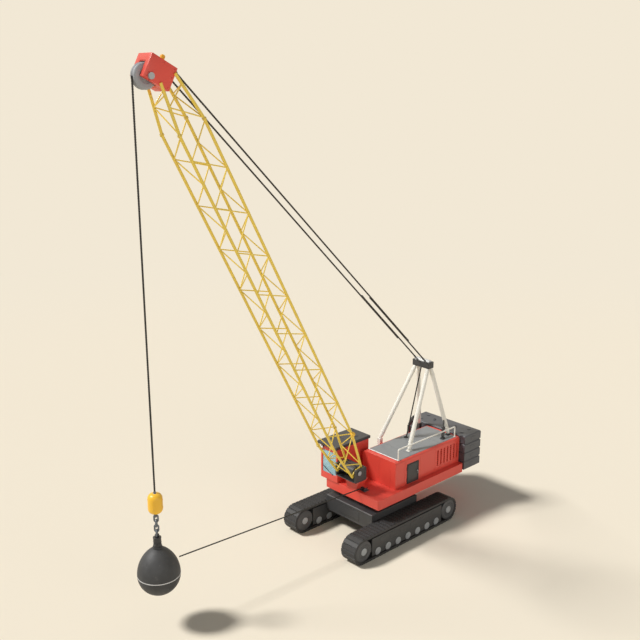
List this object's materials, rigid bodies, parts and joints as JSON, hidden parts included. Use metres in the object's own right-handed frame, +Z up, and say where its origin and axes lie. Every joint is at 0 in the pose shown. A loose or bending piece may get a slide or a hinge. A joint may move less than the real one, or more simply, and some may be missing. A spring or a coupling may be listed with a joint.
{
  "type": "wrecking ball crane",
  "caption": "Crawler crane with slewing upper works, cab, engine house, counterweight, gantry and lattice boom carrying a wrecking ball on a rope and chain.",
  "frame": {"origin": "slewing centre at ground level", "axes": "+X forward over the tracks and along the boom's plan line, +Y to the machine's left, +Z up"},
  "size_m": [16.9681, 4.31, 19.4708],
  "materials": {
    "dark_paint": "satin",
    "bare_steel": "satin",
    "track_steel": "matte",
    "red_paint": "satin",
    "grey_paint": "satin",
    "cream_paint": "satin",
    "engine_paint": "matte",
    "slate_paint": "matte",
    "window_glass": "gloss",
    "seat_plastic": "matte",
    "cylinder_paint": "satin",
    "yellow_paint": "satin",
    "beacon_plastic": "gloss",
    "wire_rope": "matte",
    "orange_paint": "satin",
    "ball_iron": "matte"
  },
  "bodies": {
    "undercarriage": {"carbody": "dark_paint", "slew_ring": "bare_steel", "left_track_frame": "dark_paint", "right_track_frame": "dark_paint", "left_track": "track_steel", "right_track": "track_steel", "track_rollers": "bare_steel", "idler_wheels": "dark_paint", "drive_sprockets": "dark_paint"},
    "upper": {"deck": "red_paint", "engine_house": "red_paint", "roof_plate": "grey_paint", "roof_rail": "cream_paint", "engine": "engine_paint", "counterweight_slabs": "slate_paint", "tank_unit": "red_paint", "boom_foot_bracket": "dark_paint", "cab_shell": "red_paint", "cab_roof": "dark_paint", "windscreen": "window_glass", "cab_windows": "window_glass", "cab_seat": "seat_plastic", "fairlead": "dark_paint", "gantry_pedestals": "dark_paint", "gantry_front_legs": "cream_paint", "gantry_rear_legs": "cream_paint", "gantry_cylinders": "cylinder_paint", "gantry_head": "dark_paint", "gantry_sheaves": "cream_paint"},
    "cab_door": {"cab_door": "red_paint", "cab_door_glass": "window_glass"},
    "house_door": {"house_door": "dark_paint"},
    "boom": {"boom_foot_pin": "dark_paint", "boom_foot_section": "yellow_paint", "boom_main_section": "yellow_paint", "boom_tip_section": "yellow_paint", "boom_head": "red_paint", "head_axle": "bare_steel", "boom_beacon": "beacon_plastic"},
    "head_sheave": {"head_sheave": "bare_steel"},
    "stays": {"boom_stays": "wire_rope"},
    "luffing_ropes": {"luffing_ropes": "wire_rope"},
    "hoist_fall": {"hoist_rope": "wire_rope"},
    "hook_block": {"hook_block": "orange_paint"},
    "ball": {"ball_chain": "bare_steel", "ball_collar": "dark_paint", "wrecking_ball": "ball_iron"}
  },
  "joints": [
    {"name": "slew", "type": "hinge", "parent": "undercarriage", "child": "upper", "pos_m": [0, 0, 1.52], "axis": [0, 0, 1], "continuous": true},
    {"name": "cab_door_hinge", "type": "hinge", "parent": "upper", "child": "cab_door", "pos_m": [-0.297, -1.8343, 2.8], "axis": [0, 0, -1], "range_deg": [0, 105]},
    {"name": "house_door_hinge", "type": "hinge", "parent": "upper", "child": "house_door", "pos_m": [-0.733, 1.3543, 2.6], "axis": [0, 0, -1], "range_deg": [0, 110]},
    {"name": "luff", "type": "hinge", "parent": "upper", "child": "boom", "pos_m": [1.4, 0, 3.04], "axis": [0, -1, 0], "range_deg": [-31.84, 18.16], "deforming": ["boom_stays", "luffing_ropes"]},
    {"name": "head_sheave_spin", "type": "hinge", "parent": "boom", "child": "head_sheave", "pos_m": [10.35284, 0, 18.7924], "axis": [0, 1, 0], "continuous": true},
    {"name": "stay_pivot", "type": "hinge", "parent": "boom", "child": "stays", "pos_m": [9.40145, 0, 18.89716], "axis": [0, -1, 0], "range_deg": [-1.2, 2]},
    {"name": "luffing_rope_pivot", "type": "hinge", "parent": "upper", "child": "luffing_ropes", "pos_m": [-3.03, 0, 6.865], "axis": [0, -1, 0], "range_deg": [-30.5, 17.5]},
    {"name": "fall_pivot", "type": "hinge", "parent": "boom", "child": "hoist_fall", "pos_m": [10.35284, 0, 18.7924], "axis": [0, -1, 0], "range_deg": [-18.2, 31.9]},
    {"name": "hoist", "type": "slide", "parent": "hoist_fall", "child": "hook_block", "axis": [0, 0, 1], "range_m": [-1.2, 8], "deforming": ["hoist_rope"]},
    {"name": "ball_swing", "type": "hinge", "parent": "hook_block", "child": "ball", "pos_m": [10.76113, 0, 4.4145], "axis": [0, -1, 0], "range_deg": [-20, 20]}
  ],
  "couplings": [
    {"joint": "stay_pivot", "follows": "luff", "ratio": -0.06},
    {"joint": "luffing_rope_pivot", "follows": "luff", "ratio": 0.95},
    {"joint": "fall_pivot", "follows": "luff", "ratio": -1}
  ]
}
